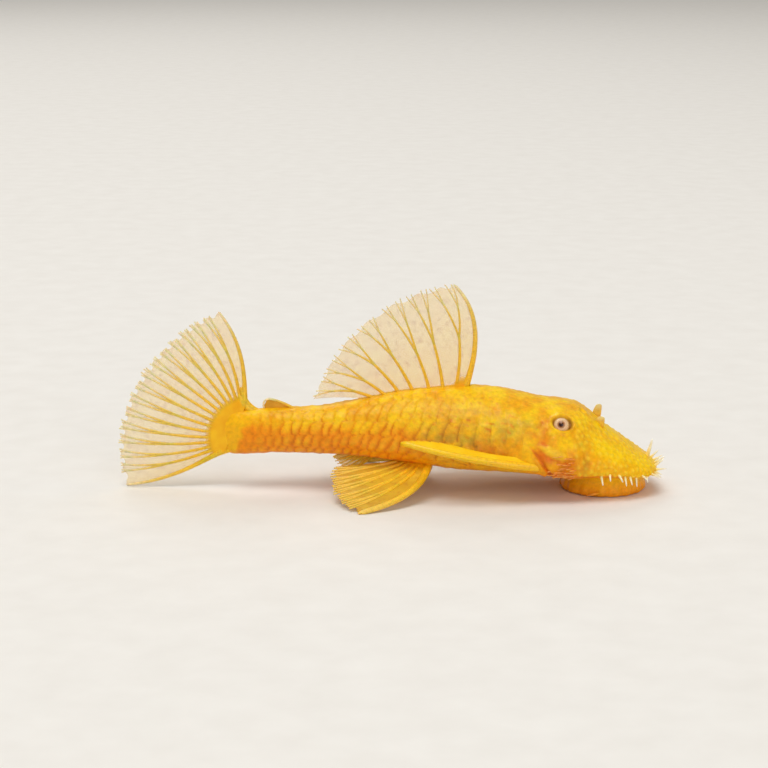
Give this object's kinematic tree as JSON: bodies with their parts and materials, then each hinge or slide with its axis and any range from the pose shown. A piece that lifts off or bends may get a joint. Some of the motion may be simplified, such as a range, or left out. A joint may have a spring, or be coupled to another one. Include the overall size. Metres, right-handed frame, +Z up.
{
  "type": "bristlenose pleco",
  "caption": "Still, life-size model of a small armoured catfish: broad bristled snout, rows of bony plates, fanned fins, resting on its sucker mouth and fin tips.",
  "frame": {"origin": "on the floor, under the middle of the whole fish", "axes": "+X towards the snout, +Y to the fish's left, +Z up"},
  "size_m": [0.121, 0.0444, 0.0455],
  "materials": {
    "skin": "moist golden skin over bony plates",
    "lips": "soft, finely bumped lip",
    "eye": "glossy eyeball with a pale iris",
    "fin": "clear membrane between yellow rays"
  },
  "bodies": {
    "root": {"head": "skin", "torso": "skin", "tail": "skin", "mouth_disc": "lips", "eye_right": "eye", "eye_left": "eye", "dorsal_fin": "fin", "adipose_fin": "fin", "caudal_fin": "fin", "anal_fin": "fin", "pectoral_fin_right": "fin", "pectoral_fin_left": "fin", "pelvic_fin_right": "fin", "pelvic_fin_left": "fin"}
  },
  "joints": []
}
